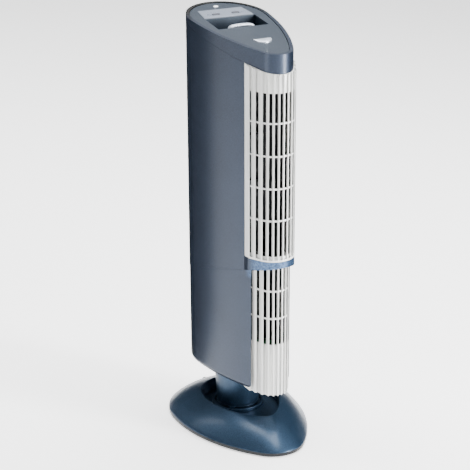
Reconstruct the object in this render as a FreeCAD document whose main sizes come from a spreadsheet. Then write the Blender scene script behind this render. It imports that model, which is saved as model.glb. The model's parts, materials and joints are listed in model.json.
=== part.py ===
import FreeCAD, Part
import Sketcher
import math
import os
import re

# Blower tower with a lift-out collector cartridge. Millimetres, +Z up, front towards -Y.
# Every outline of the tower, neck and foot is an egg: a back arc, a front arc and two side arcs.

sizes = {
    # tower egg
    "towerBackRadius": 68, "towerFrontRadius": 30, "towerSideRadius": 403,
    "towerBackY": 48, "towerFrontY": -101,
    # foot egg at the floor, halfway up, and at the rim of its recess
    "footBackRadius": 107.8, "footFrontRadius": 54.8, "footSideRadius": 259,
    "footBackY": 48.2, "footFrontY": -101.2,
    "waistBackRadius": 90, "waistFrontRadius": 38, "waistSideRadius": 205,
    "waistBackY": 38, "waistFrontY": -91,
    "rimBackRadius": 63, "rimFrontRadius": 18, "rimSideRadius": 130,
    "rimBackY": 25, "rimFrontY": -74,
    # neck drum, which widens upwards
    "neckLow": 32, "neckRadius": 36, "neckTopRadius": 40, "neckTop": 100, "neckWall": 3, "neckBolt": 20,
    # foot heights
    "rubberHeight": 2, "lipHeight": 8, "waistHeight": 28, "rimHeight": 45, "recessFloor": 24,
    "footWall": 3, "rimWidth": 2.5, "swivelY": 21, "postRadius": 8, "postTop": 58,
    "collarRadius": 44, "collarTop": 30, "hubRadius": 13, "hubTop": 42, "tabTurn": -131, "tabWidth": 8,
    "ballastRadius": 56, "padRadius": 8, "plateThickness": 2.5,
    "glandRadius": 5, "glandHeight": 12, "glandLength": 19, "glandEnd": 152,
    # tower heights: z of the sloping planes at the tower's front and back
    "towerBottom": 100, "wall": 2.8, "rimLip": 6,
    "topFront": 663, "topBack": 700, "capFront": 633.3, "capBack": 694,
    "seamFront": 322, "seamBack": 262, "frontY": -131, "backY": 116,
    # outlet grilles: fin number i stands at reach * sin(finStep * i), so fins are even round the nose
    "finStep": 9.3, "finThick": 1.7, "bladeDepth": 3.6, "fluteDepth": 3.2, "grilleDepth": 5, "grilleStart": -66,
    "upperReach": 49, "upperHalf": 40.5, "upperProud": 4.5, "upperBottom": 334,
    "upperSlotLow": 342, "upperSlotHigh": 604, "upperBar": 401.5, "barPitch": 52, "barHeight": 2.4,
    "lowerReach": 45, "lowerHalf": 35, "lowerInset": 3.2, "lowerTop": 326, "lowerBottom": 98.5,
    "lowerSlotLow": 188, "lowerBar": 234, "lowerBarPitch": 47, "lipTall": 3.2,
    "beltHalf": 41.2,
    # intake grille
    "intakeHalf": 40, "intakeLow": 340, "intakeHigh": 610, "intakePitch": 9, "intakeSlot": 5.4,
    # recess in the lid, cartridge and handle
    "panFront": -4, "panBack": 42, "panHalf": 44, "panDepth": 24, "lidThick": 3,
    "cartridgeLow": 352, "cartridgeHigh": 656, "cartridgeFront": -1, "cartridgeBack": 36,
    "cartridgeHalf": 40, "plateThick": 1.2, "plateReach": 4, "wireRadius": 0.5,
    "handleHalf": 24, "handlePost": 21, "handleLow": 678, "handleTop": 683.5, "gap": 0.4,
    # buttons and lens on the lid
    "buttonX": 17.5, "buttonY": 58, "buttonHalf": 7, "buttonAcross": 2.6,
    "lensX": 0, "lensY": 93, "lensHalf": 4, "lensAcross": 1.9,
    "releaseY": -63, "releaseRadius": 15, "stemY": -69, "stemRadius": 2.5, "guideTop": 654,
    # blower
    "fanY": 74, "fanRadius": 29, "fanLow": 352, "fanHigh": 600, "shaftRadius": 3,
    # swivel drive
    "gearModule": 1, "gearTeeth": 24, "pinionTeeth": 12, "gearLow": 45, "gearWidth": 6,
    "drivePlate": 59, "driveRadius": 12, "driveTall": 16,
}

doc = FreeCAD.newDocument("BlowerTower")
sheet = doc.addObject("Spreadsheet::Sheet", "Dims")
for row, (alias, value) in enumerate(sizes.items(), start=1):
    sheet.set("A%d" % row, alias)
    sheet.set("B%d" % row, str(value))
    sheet.setAlias("B%d" % row, alias)
doc.recompute()

nodes = []


def bound(text):
    return re.sub(r"[A-Za-z]\w+", lambda word: "Dims." + word[0] if word[0] in sizes else word[0], str(text))


def number(text):
    value = sheet.evalExpression(bound(text).replace("Dims.", ""))
    return float(getattr(value, "Value", value))


def bind(thing, prop, text):
    thing.setExpression(prop, bound(text))


def node(thing, name):
    thing.Label = name
    nodes.append(thing)
    return thing


def originPlane(body, role):
    return [item for item in body.Origin.OriginFeatures if item.Role == role][0]


def newSketch(body, name, role="XY_Plane", level="0"):
    sketch = body.newObject("Sketcher::SketchObject", name)
    sketch.AttachmentSupport = [(originPlane(body, role), "")]
    sketch.MapMode = "FlatFace"
    sketch.AttachmentOffset = FreeCAD.Placement(FreeCAD.Vector(0, 0, number(level)), FreeCAD.Rotation())
    if level != "0":
        bind(sketch, "AttachmentOffset.Base.z", level)
    return sketch


def datum(sketch, kind, name, text, *geometry):
    index = sketch.addConstraint(Sketcher.Constraint(kind, *geometry, number(text)))
    sketch.renameConstraint(index, name)
    bind(sketch, "Constraints." + name, text)


def eggSketch(body, name, egg, level="0", inset="0"):
    sketch = newSketch(body, name, "XY_Plane", level)
    backR = number(egg + "BackRadius - (%s)" % inset)
    frontR = number(egg + "FrontRadius - (%s)" % inset)
    sideR = number(egg + "SideRadius - (%s)" % inset)
    backY = sizes[egg + "BackY"]
    frontY = sizes[egg + "FrontY"]
    length = backY - frontY
    along = ((sideR - backR) ** 2 - (sideR - frontR) ** 2 + length ** 2) / (2 * length)
    across = math.sqrt((sideR - backR) ** 2 - along ** 2)
    sideY = backY - along
    backAngle = math.atan2(backY - sideY, across)
    frontAngle = math.atan2(frontY - sideY, across)
    up = FreeCAD.Vector(0, 0, 1)
    arcs = [
        (-across, sideY, sideR, frontAngle, backAngle),
        (0, backY, backR, backAngle, math.pi - backAngle),
        (across, sideY, sideR, math.pi - backAngle, math.pi - frontAngle),
        (0, frontY, frontR, math.pi - frontAngle, 2 * math.pi + frontAngle),
    ]
    for x, y, radius, start, end in arcs:
        circle = Part.Circle(FreeCAD.Vector(x, y, 0), up, radius)
        sketch.addGeometry(Part.ArcOfCircle(circle, start, end), False)
    for first in range(4):
        sketch.addConstraint(Sketcher.Constraint("Tangent", first, 2, (first + 1) % 4, 1))
    for arc in (1, 3):
        sketch.addConstraint(Sketcher.Constraint("PointOnObject", arc, 3, -2))
    sketch.addConstraint(Sketcher.Constraint("Equal", 0, 2))
    datum(sketch, "Radius", "SideRadius", egg + "SideRadius - (%s)" % inset, 0)
    datum(sketch, "Radius", "BackRadius", egg + "BackRadius - (%s)" % inset, 1)
    datum(sketch, "Radius", "FrontRadius", egg + "FrontRadius - (%s)" % inset, 3)
    datum(sketch, "DistanceY", "BackCentre", egg + "BackY", -1, 1, 1, 3)
    datum(sketch, "DistanceY", "FrontCentre", egg + "FrontY", -1, 1, 3, 3)
    return sketch


def polygonSketch(body, name, points, role="XY_Plane", level="0"):
    sketch = newSketch(body, name, role, level)
    spots = [FreeCAD.Vector(number(x), number(y), 0) for x, y in points]
    count = len(spots)
    for index in range(count):
        sketch.addGeometry(Part.LineSegment(spots[index], spots[(index + 1) % count]), False)
    for index in range(count):
        sketch.addConstraint(Sketcher.Constraint("Coincident", index, 2, (index + 1) % count, 1))
    for index, (x, y) in enumerate(points):
        for axis, kind, text, line in (("X", "DistanceX", x, -2), ("Y", "DistanceY", y, -1)):
            if number(text) == 0:
                sketch.addConstraint(Sketcher.Constraint("PointOnObject", index, 1, line))
            else:
                datum(sketch, kind, "%s%d" % (axis, index), text, -1, 1, index, 1)
    return sketch


def pad(body, sketch, length):
    feature = body.newObject("PartDesign::Pad", "Pad")
    feature.Profile = sketch
    feature.Length = number(length)
    bind(feature, "Length", length)
    return feature


def pocket(body, sketch, length, upward=True):
    feature = body.newObject("PartDesign::Pocket", "Pocket")
    feature.Profile = sketch
    feature.Length = number(length)
    bind(feature, "Length", length)
    feature.Reversed = upward
    return feature


def sidePocket(body, name, points):
    feature = pocket(body, polygonSketch(body, name, points, "YZ_Plane"), "2 * footBackRadius", False)
    feature.Midplane = True
    return feature


def newBody(name):
    return doc.addObject("PartDesign::Body", name)


def eggPad(name, egg, low, high, inset="0"):
    body = newBody(name)
    pad(body, eggSketch(body, name + "Outline", egg, low, inset), "(%s) - (%s)" % (high, low))
    return body


def eggTube(name, egg, low, high, outer, inner):
    body = eggPad(name, egg, low, high, outer)
    pocket(body, eggSketch(body, name + "Bore", egg, low, inner), "(%s) - (%s)" % (high, low))
    return body


def cutAbove(body, name, front, back, drop="0"):
    span = [("frontY - 20", front, -20), ("backY + 20", back, 20)]
    rise = "((%s) - (%s)) / (backY - frontY)" % (back, front)
    low = "(%s) - (%s) - 20 * %s" % (front, drop, rise)
    high = "(%s) - (%s) + 20 * %s" % (back, drop, rise)
    points = [(span[0][0], low), (span[1][0], high), (span[1][0], "topBack + 60"), (span[0][0], "topBack + 60")]
    return sidePocket(body, name, points)


def cutBelow(body, name, front, back, drop="0"):
    rise = "((%s) - (%s)) / (backY - frontY)" % (back, front)
    low = "(%s) - (%s) - 20 * %s" % (front, drop, rise)
    high = "(%s) - (%s) + 20 * %s" % (back, drop, rise)
    points = [("frontY - 20", "1"), ("backY + 20", "1"), ("backY + 20", high), ("frontY - 20", low)]
    return sidePocket(body, name, points)


def box(name, x, y, z):
    solid = doc.addObject("Part::Box", name)
    for prop, place, (low, high) in (("Length", "x", x), ("Width", "y", y), ("Height", "z", z)):
        bind(solid, prop, "(%s) - (%s)" % (high, low))
        bind(solid, "Placement.Base." + place, low)
    return solid


def cylinder(name, radius, low, high, x="0", y="0"):
    solid = doc.addObject("Part::Cylinder", name)
    bind(solid, "Radius", radius)
    bind(solid, "Height", "(%s) - (%s)" % (high, low))
    for place, text in (("x", x), ("y", y), ("z", low)):
        bind(solid, "Placement.Base." + place, text)
    return solid


def cone(name, lowRadius, highRadius, low, high):
    solid = doc.addObject("Part::Cone", name)
    bind(solid, "Radius1", lowRadius)
    bind(solid, "Radius2", highRadius)
    bind(solid, "Height", "(%s) - (%s)" % (high, low))
    bind(solid, "Placement.Base.y", "swivelY")
    bind(solid, "Placement.Base.z", low)
    return solid


def lyingCylinder(name, radius, length, back="0"):
    solid = cylinder(name, radius, "0", length)
    solid.Placement = FreeCAD.Placement(FreeCAD.Vector(0, 0, 0), FreeCAD.Rotation(FreeCAD.Vector(1, 0, 0), -90))
    bind(solid, "Placement.Base.y", "glandEnd - glandLength + (%s)" % back)
    bind(solid, "Placement.Base.z", "glandHeight")
    return solid


def group(kind, name, shapes):
    result = doc.addObject("Part::" + kind, name)
    result.Shapes = shapes
    return result


def fuse(name, shapes):
    return group("MultiFuse", name, shapes)


def common(name, shapes):
    return group("MultiCommon", name, shapes)


def cut(name, base, tools):
    result = doc.addObject("Part::Cut", name)
    result.Base = base
    result.Tool = tools[0] if len(tools) == 1 else fuse(name + "Tools", tools)
    return result


# foot

def makeFoot():
    shell = newBody("FootOutside")
    pad(shell, eggSketch(shell, "FootLip", "foot", "rubberHeight"), "lipHeight - rubberHeight")
    loft = shell.newObject("PartDesign::AdditiveLoft", "FootSkirt")
    loft.Profile = eggSketch(shell, "SkirtFloor", "foot", "lipHeight")
    loft.Sections = [eggSketch(shell, "SkirtWaist", "waist", "waistHeight"),
                     eggSketch(shell, "SkirtRim", "rim", "rimHeight")]
    pocket(shell, eggSketch(shell, "Recess", "rim", "recessFloor", "rimWidth"), "rimHeight - recessFloor")
    hollow = newBody("FootHollow")
    pad(hollow, eggSketch(hollow, "HollowLip", "foot", "rubberHeight", "footWall"), "lipHeight - rubberHeight")
    loft = hollow.newObject("PartDesign::AdditiveLoft", "HollowSkirt")
    loft.Profile = eggSketch(hollow, "HollowFloor", "foot", "lipHeight", "footWall")
    loft.Sections = [eggSketch(hollow, "HollowWaist", "waist", "waistHeight - 2", "footWall + 1")]
    floor = eggPad("RecessTub", "rim", "recessFloor - footWall", "rimHeight")
    ringHollow = cut("FootRingHollow", hollow, [floor])
    gland = lyingCylinder("GlandHole", "glandRadius", "glandLength * 2")
    wireHole = cylinder("WireHole", "6", "recessFloor - 6", "recessFloor + 2", "0", "swivelY")
    node(cut("FootShell", shell, [ringHollow, gland, wireHole]), "base_shell")


def footSpots():
    return [("0", "footFrontY - 30"), ("-72", "-30"), ("72", "-30"), ("-70", "80"), ("70", "80")]


def makeFootFloor():
    plate = eggPad("FootPlate", "foot", "rubberHeight", "rubberHeight + plateThickness",
                   "footWall + gap")
    holes = [cylinder("PlateHole%d" % index, "1.7", "0", "8", x, y) for index, (x, y) in enumerate(screwSpots())]
    node(cut("FootPlateDrilled", plate, holes), "base_plate")
    pads = [cylinder("Rubber%d" % index, "padRadius", "0", "rubberHeight", x, y) for index, (x, y) in enumerate(footSpots())]
    node(fuse("Rubbers", pads), "rubber_feet")
    weight = cylinder("Weight", "ballastRadius", "rubberHeight + plateThickness", "rubberHeight + 15",
                      "0", "swivelY")
    node(cut("WeightRing", weight, [cylinder("WeightBore", "16", "0", "40", "0", "swivelY")]), "ballast_ring")


def screwSpots():
    return [("0", "footFrontY - 10"), ("-60", "-60"), ("60", "-60"), ("-84", "40"), ("84", "40"), ("0", "130")]


def makeFootScrews():
    solids = []
    for index, (x, y) in enumerate(screwSpots()):
        shank = cylinder("Shank%d" % index, "1.5", "rubberHeight - 0.4", "rubberHeight + 8", x, y)
        head = cylinder("Head%d" % index, "3.2", "rubberHeight - 1.6", "rubberHeight", x, y)
        solids.append(fuse("FootScrew%d" % index, [shank, head]))
    node(fuse("FootScrews", solids), "base_screws")


def makeGland():
    bush = lyingCylinder("GlandBush", "glandRadius", "glandLength")
    flange = lyingCylinder("GlandFlange", "glandRadius + 1", "3")
    bore = lyingCylinder("GlandBore", "glandRadius - 2", "glandLength + 2", "-1")
    node(cut("Gland", fuse("GlandSolid", [bush, flange]), [bore]), "cord_gland")


# swivel between foot and neck

pinionY = "swivelY + gearModule * (gearTeeth + pinionTeeth) / 2"


def involutePoints(radius, start, end, steps):
    points = []
    for step in range(steps + 1):
        reach = start + (end - start) * step / steps
        roll = math.sqrt((reach / radius) ** 2 - 1)
        points.append((reach, roll - math.atan(roll)))
    return points


def gearShape(teeth, low, width, bore, turn):
    module = number("gearModule")
    pitch = module * teeth / 2
    baseR = pitch * math.cos(math.radians(20))
    root = pitch - 1.25 * module
    tip = pitch + 0.9 * module
    atPitch = involutePoints(baseR, baseR, pitch, 1)[-1][1]
    halfTooth = math.pi / (2 * teeth) - 0.10 / pitch
    corners = []
    for tooth in range(teeth):
        middle = turn + 2 * math.pi * tooth / teeth
        flank = involutePoints(baseR, max(baseR, root), tip, 5)
        right = [(reach, middle - halfTooth - atPitch + angle) for reach, angle in flank]
        left = [(reach, 2 * middle - angle) for reach, angle in reversed(right)]
        corners += [(root, right[0][1])] + right + left + [(root, left[-1][1])]
    points = [FreeCAD.Vector(reach * math.cos(angle), reach * math.sin(angle), low) for reach, angle in corners]
    disc = Part.Face(Part.makePolygon(points + points[:1])).extrude(FreeCAD.Vector(0, 0, width))
    return disc.cut(Part.makeCylinder(bore, width + 2, FreeCAD.Vector(0, 0, low - 1)))


def gearNode(name, teeth, bore, y, turn):
    gear = doc.addObject("Part::Feature", name + "Solid")
    gear.Shape = gearShape(teeth, number("gearLow"), number("gearWidth"), bore, turn)
    gear.Placement = FreeCAD.Placement(FreeCAD.Vector(0, number(y), 0), FreeCAD.Rotation())
    bind(gear, "Placement.Base.y", y)
    return node(gear, name)


def makeSwivel():
    post = cylinder("PostBarrel", "postRadius", "recessFloor + 3", "postTop", "0", "swivelY")
    flange = cylinder("PostFlange", "postRadius + 8", "recessFloor", "recessFloor + 3", "0", "swivelY")
    bore = cylinder("PostBore", "postRadius / 2", "recessFloor - 1", "postTop + 1", "0", "swivelY")
    node(cut("Post", fuse("PostSolid", [post, flange]), [bore]), "swivel_post")
    ring = cylinder("CollarOutside", "collarRadius", "recessFloor", "collarTop", "0", "swivelY")
    inside = cylinder("CollarInside", "collarRadius - 4", "recessFloor - 1", "collarTop + 1", "0", "swivelY")
    node(cut("Collar", ring, [inside]), "swivel_collar")
    washer = cylinder("WasherDisc", "postRadius + 8", "recessFloor + 3", "collarTop", "0", "swivelY")
    hole = cylinder("WasherHole", "postRadius", "recessFloor", "collarTop + 1", "0", "swivelY")
    node(cut("Washer", washer, [hole]), "thrust_bearing")
    gearNode("swivel_gear", int(sizes["gearTeeth"]), sizes["postRadius"], "swivelY", math.pi / 2)
    halfPitch = math.pi / sizes["pinionTeeth"]
    gearNode("swivel_pinion", int(sizes["pinionTeeth"]), 2.5, pinionY, -math.pi / 2 + halfPitch)
    can = cylinder("DriveCan", "driveRadius", "drivePlate + 2", "drivePlate + 2 + driveTall", "0", pinionY)
    stub = cylinder("DriveShaft", "2.45", "gearLow - 1", "drivePlate + 3", "0", pinionY)
    node(fuse("Drive", [can, stub]), "swivel_motor")


def makeTurntable():
    flange = cylinder("TurnFlange", "neckRadius + 0.5", "collarTop + 0.3", "neckLow", "0", "swivelY")
    disc = cylinder("TurnDisc", "neckRadius - neckWall", "neckLow", "neckLow + 3", "0", "swivelY")
    hub = cylinder("TurnHub", "hubRadius", "neckLow + 3", "hubTop", "0", "swivelY")
    tab = doc.addObject("Part::Box", "TurnTab")
    bind(tab, "Length", "neckRadius + 5")
    bind(tab, "Width", "tabWidth")
    bind(tab, "Height", "neckLow - collarTop - 0.3")
    turn = FreeCAD.Rotation(FreeCAD.Vector(0, 0, 1), number("tabTurn"))
    centre = FreeCAD.Vector(0, number("swivelY"), number("collarTop + 0.3"))
    tab.Placement = FreeCAD.Placement(centre + turn.multVec(FreeCAD.Vector(0, -number("tabWidth") / 2, 0)), turn)
    bore = cylinder("TurnBore", "postRadius + 0.05", "collarTop - 2", "hubTop + 2", "0", "swivelY")
    node(cut("Turntable", fuse("TurnSolid", [flange, disc, hub, tab]), [bore]), "turntable")


def makeNeck():
    outside = cone("NeckOutside", "neckRadius", "neckTopRadius", "neckLow", "neckTop")
    inside = cone("NeckInside", "neckRadius - neckWall", "neckTopRadius - neckWall", "neckLow", "neckTop - 4")
    wires = cylinder("NeckWireHole", "8", "postTop", "neckTop + 1", "0", "swivelY")
    pilots = [cylinder("NeckPilot%d" % index, "2", "neckTop - 6", "neckTop + 1", x, y)
              for index, (x, y) in enumerate(neckBolts())]
    node(cut("Neck", outside, [inside, wires] + pilots), "neck_shell")
    plate = cylinder("DrivePlateDisc", "neckRadius - 1.7", "drivePlate", "drivePlate + 2", "0", "swivelY")
    shaftHole = cylinder("DrivePlateShaft", "4", "drivePlate - 1", "drivePlate + 3", "0", pinionY)
    wireHole = cylinder("DrivePlateWires", "5", "drivePlate - 1", "drivePlate + 3", "0", "swivelY")
    node(cut("DrivePlate", plate, [shaftHole, wireHole]), "drive_plate")


# tower shells

def windowBox(name, half, low, high):
    return box(name, ("-(%s)" % half, half), ("frontY - 10", "grilleStart"), (low, high))


def makeLowerHousing():
    body = eggPad("LowerOutside", "tower", "towerBottom", "seamFront + 20", "0.5")
    blank = body.Tip
    doc.recompute()
    bottomEdges = ["Edge%d" % place for place, edge in enumerate(body.Shape.Edges, start=1)
                   if edge.BoundBox.ZMax < sizes["towerBottom"] + 1]
    fillet = body.newObject("PartDesign::Fillet", "LowerRound")
    fillet.Base = (blank, bottomEdges)
    fillet.Radius = 12
    doc.recompute()
    pocket(body, eggSketch(body, "LowerInside", "tower", "towerBottom + 6", "wall + 0.5"), "seamFront")
    cutAbove(body, "LowerSeam", "seamFront", "seamBack", "0.3")
    window = windowBox("LowerWindow", "lowerHalf + gap", "towerBottom - 5", "seamFront + 30")
    wires = cylinder("TowerWireHole", "8", "towerBottom - 1", "towerBottom + 8", "0", "swivelY")
    bolts = [cylinder("NeckBolt%d" % index, "2.2", "towerBottom - 1", "towerBottom + 8", x, y)
             for index, (x, y) in enumerate(neckBolts())]
    node(cut("LowerHousing", body, [window, wires] + bolts), "lower_housing")


def neckBolts():
    return [(x, y) for x in ("-neckBolt", "neckBolt") for y in ("swivelY - neckBolt", "swivelY + neckBolt")]


def makeNeckScrews():
    solids = []
    for index, (x, y) in enumerate(neckBolts()):
        head = cylinder("NeckHead%d" % index, "3.6", "towerBottom + 6", "towerBottom + 8.4", x, y)
        shank = cylinder("NeckShank%d" % index, "1.95", "towerBottom - 4", "towerBottom + 6.4", x, y)
        solids.append(fuse("NeckScrew%d" % index, [head, shank]))
    node(fuse("NeckScrews", solids), "neck_screws")


def makeUpperHousing():
    body = eggTube("UpperTube", "tower", "seamBack - 20", "capBack + 20", "0", "wall")
    cutBelow(body, "UpperSeam", "seamFront", "seamBack")
    cutAbove(body, "CapSeam", "capFront", "capBack", "0.3")
    belt = eggTube("BeltTube", "tower", "seamFront - 14", "upperBottom - 0.5", "-upperProud", "wall")
    cutBelow(belt, "BeltSeam", "seamFront", "seamBack")
    front = box("BeltFront", ("-beltHalf", "beltHalf"), ("frontY - 10", "grilleStart"),
                ("seamFront - 30", "upperBottom + 5"))
    beltBand = common("BeltBand", [belt, front])
    window = windowBox("UpperWindow", "upperHalf + gap", "upperBottom - 0.3", "capBack + 30")
    back = box("IntakeWindow", ("-intakeHalf - gap", "intakeHalf + gap"), ("backY - 70", "backY + 10"),
               ("intakeLow - 6 - gap", "intakeHigh + 6 + gap"))
    node(cut("UpperHousing", fuse("UpperSolid", [body, beltBand]), [window, back]), "upper_housing")


def makeTopRim():
    body = eggTube("RimTube", "tower", "capFront - 20", "topBack + 20", "0", "rimLip")
    cutBelow(body, "RimBottom", "capFront", "capBack")
    cutAbove(body, "RimTop", "topFront", "topBack")
    node(body, "top_rim")


def lidBody(name, inset, drop, thick):
    body = eggPad(name, "tower", "capFront - 40", "topBack + 20", inset)
    cutAbove(body, name + "Top", "topFront", "topBack", drop)
    cutBelow(body, name + "Under", "topFront", "topBack", "(%s) + (%s)" % (drop, thick))
    return body


def makeLid():
    lid = lidBody("LidPlate", "rimLip + 2 * gap", "0.8", "lidThick")
    pan = lidBody("LidPan", "rimLip + gap + 3", "1.5", "panDepth")
    walls = box("PanOutside", ("-panHalf - 2.5", "panHalf + 2.5"), ("panFront - 2.5", "panBack + 2.5"),
                ("capFront", "topBack + 5"))
    panWalls = common("PanWalls", [pan, walls])
    opening = box("PanOpening", ("-panHalf", "panHalf"), ("panFront", "panBack"), ("capFront - 5", "topBack + 5"))
    button = halfMoon("ReleaseHole", "0.5", "capFront - 5", "topBack")
    tools = [opening, button]
    tools += [ovalPost("ButtonHole%d" % side, "button", side, "gap", "capFront", "topBack") for side in (-1, 1)]
    tools.append(ovalPost("LensHole", "lens", 1, "0", "capFront", "topBack + 5"))
    tools.append(panelPlate("PanelSeat", "0.3", "0.8 - 0.4", "1.2"))
    node(cut("Lid", fuse("LidSolid", [lid, panWalls]), tools), "top_lid")


def ovalPost(name, kind, side, grow, low, high):
    across = "%sAcross + %s" % (kind, grow)
    run = "(%sHalf - %sAcross)" % (kind, kind)
    middle = "%d * %sX" % (side, kind)
    y = kind + "Y"
    ends = [cylinder("%sEnd%d" % (name, end), across, low, high, "%s + %d * %s" % (middle, end, run), y)
            for end in (-1, 1)]
    slab = box(name + "Middle", ("%s - %s" % (middle, run), "%s + %s" % (middle, run)),
               ("%s - (%s)" % (y, across), "%s + %s" % (y, across)), (low, high))
    return fuse(name, ends + [slab])


def halfMoon(name, grow, low, high):
    disc = cylinder(name + "Disc", "releaseRadius + %s" % grow, low, high, "0", "releaseY")
    front = box(name + "Front", ("-releaseRadius - 5", "releaseRadius + 5"),
                ("releaseY - releaseRadius - 5", "releaseY + %s" % grow), (low, high))
    return common(name, [disc, front])


def panelPlate(name, grow, drop, thick):
    body = newBody(name)
    points = [("-43 - %s" % grow, "46 - %s" % grow), ("43 + %s" % grow, "46 - %s" % grow),
              ("39 + %s" % grow, "80 + %s" % grow), ("-39 - %s" % grow, "80 + %s" % grow)]
    pad(body, polygonSketch(body, name + "Outline", points, "XY_Plane", "capFront"), "100")
    cutAbove(body, name + "Top", "topFront", "topBack", drop)
    cutBelow(body, name + "Under", "topFront", "topBack", "(%s) + (%s)" % (drop, thick))
    return body


def makePanel():
    holes = [ovalPost("PanelHole%d" % side, "button", side, "gap", "capFront", "topBack + 5") for side in (-1, 1)]
    node(cut("Panel", panelPlate("PanelBlank", "0", "0.3", "0.9"), holes), "control_panel")
    for side, name in ((-1, "power_button"), (1, "mode_button")):
        top = lidBody(name + "Slab", "rimLip", "-0.7", "4.2")
        post = ovalPost(name + "Post", "button", side, "0", "capFront", "topBack + 5")
        node(common(name + "Cap", [top, post]), name)
    lens = lidBody("LensSlab", "rimLip", "0.2", "3.4")
    post = ovalPost("LensPost", "lens", 1, "0", "capFront", "topBack + 5")
    node(common("Lens", [lens, post]), "indicator_lens")


def makeReleaseButton():
    slab = lidBody("ReleaseSlab", "rimLip", "-1", "5")
    cap = common("ReleaseCap", [slab, halfMoon("ReleaseShape", "0", "capFront - 5", "topBack + 5")])
    stem = cylinder("ReleaseStem", "stemRadius", "guideTop - 8", "guideTop + 17", "0", "stemY")
    node(fuse("ReleaseButton", [cap, stem]), "release_button")
    boss = cylinder("GuideBoss", "stemRadius + 3", "guideTop - 18", "guideTop", "0", "stemY")
    bore = cylinder("GuideBore", "stemRadius + 0.08", "guideTop - 19", "guideTop + 1", "0", "stemY")
    arm = box("GuideArm", ("-3", "3"), ("stemY + 4", "panFront - 2.5"), ("guideTop - 14", "guideTop - 4"))
    node(cut("Guide", fuse("GuideSolid", [boss, arm]), [bore]), "release_guide")
    makeSpring()


def makeSpring():
    wire = 0.4
    pitch = 2.2
    turns = 5.5
    steps = 12
    coil = sizes["stemRadius"] + 1.2
    rings = []
    for step in range(int(turns * steps) + 1):
        angle = 2 * math.pi * step / steps
        outward = FreeCAD.Vector(math.cos(angle), math.sin(angle), 0)
        centre = outward * coil + FreeCAD.Vector(0, 0, wire + pitch * step / steps)
        rings.append([centre + outward * (wire * math.cos(side)) + FreeCAD.Vector(0, 0, wire * math.sin(side))
                      for side in (math.radians(60 * corner) for corner in range(6))])
    faces = [rings[0], rings[-1]]
    for low, high in zip(rings, rings[1:]):
        for side in range(6):
            after = (side + 1) % 6
            faces.append([low[side], low[after], high[after]])
            faces.append([low[side], high[after], high[side]])
    shell = Part.makeShell([Part.Face(Part.makePolygon(corners + corners[:1])) for corners in faces])
    shell.sewShape()
    solid = Part.makeSolid(shell)
    if solid.Volume < 0:
        solid.reverse()
    spring = doc.addObject("Part::Feature", "SpringSolid")
    spring.Shape = solid
    spring.Placement = FreeCAD.Placement(FreeCAD.Vector(0, sizes["stemY"], sizes["guideTop"]), FreeCAD.Rotation())
    bind(spring, "Placement.Base.y", "stemY")
    bind(spring, "Placement.Base.z", "guideTop")
    node(spring, "release_spring")


# grilles

def slotBoxes(name, fins, thick, depth, heights):
    boxes = []
    for index in range(len(fins) - 1):
        across = ("%s + (%s) / 2" % (fins[index], thick), "%s - (%s) / 2" % (fins[index + 1], thick))
        boxes.append(box("%s%d" % (name, index), across, depth, heights))
    return fuse(name, boxes)


def makeOutlet(name, half, outer, fins, low, high, flutesLow, slotLow, slotHigh, bars):
    tube = eggTube(name + "Tube", "tower", low, high, outer, "(%s) + grilleDepth" % outer)
    if name == "upper_grille":
        cutAbove(tube, name + "Visor", "capFront", "capBack", "0.4")
    front = box(name + "Front", ("-(%s)" % half, half), ("frontY - 10", "grilleStart - gap"), (low, high))
    blank = common(name + "Blank", [tube, front])
    depth = ("frontY - 12", "grilleStart + 5")
    skin = eggTube(name + "Skin", "tower", "(%s) - 1" % low, "(%s) + 1" % high, "(%s) - 1" % outer,
                   "(%s) + fluteDepth" % outer)
    lines = slotBoxes(name + "Lines", fins, "finThick", depth, (flutesLow, "(%s) + 2" % high))
    flutes = common(name + "Flutes", [skin, lines])
    slots = slotBoxes(name + "Slots", fins, "finThick", depth, (slotLow, slotHigh))
    relief = eggTube(name + "Relief", "tower", slotLow, slotHigh, "(%s) + bladeDepth" % outer,
                     "(%s) + grilleDepth + 1" % outer)
    reach = box(name + "ReliefBox", ("-(%s) + 2.2" % half, "(%s) - 2.2" % half), depth, (slotLow, slotHigh))
    grille = cut(name + "Fins", blank, [flutes, slots, common(name + "Hollow", [relief, reach])])
    ring = eggTube(name + "Ring", "tower", low, high, "(%s) + 1.6" % outer, "(%s) + bladeDepth" % outer)
    strips = [box("%sBar%d" % (name, index), ("-(%s) + 1" % half, "(%s) - 1" % half),
                  ("frontY - 10", "grilleStart - gap"), ("%s - barHeight / 2" % z, "%s + barHeight / 2" % z))
              for index, z in enumerate(bars)]
    pieces = [grille, common(name + "Bars", [ring, fuse(name + "Strips", strips)])]
    if name == "lower_grille":
        sill = eggPad(name + "Sill", "tower", low, "(%s) + lipTall" % low, "(%s) + fluteDepth" % outer)
        shelf = box(name + "Shelf", ("-(%s)" % half, half), ("frontY - 10", "grilleStart - gap"),
                    (low, "(%s) + lipTall" % low))
        pieces.append(common(name + "Floor", [sill, shelf]))
    node(fuse(name + "Solid", pieces), name)


def makeIntake():
    tube = eggTube("IntakeTube", "tower", "intakeLow - 6", "intakeHigh + 6", "0", "wall + 0.5")
    back = box("IntakeBack", ("-intakeHalf", "intakeHalf"), ("backY - 68", "backY + 5"),
               ("intakeLow - 6", "intakeHigh + 6"))
    third = "(intakeHigh - intakeLow) / 3"
    ribs = ["intakePitch * %d" % index for index in range(-4, 5)]
    rows = [slotBoxes("IntakeSlots%d" % row, ribs, "intakePitch - intakeSlot", ("backY - 70", "backY + 10"),
                      ("intakeLow + %d * %s + 3" % (row, third), "intakeLow + %d * %s - 3" % (row + 1, third)))
            for row in range(3)]
    node(cut("IntakeGrille", common("IntakeBlank", [tube, back]), rows), "intake_grille")


# blower and cartridge

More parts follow.
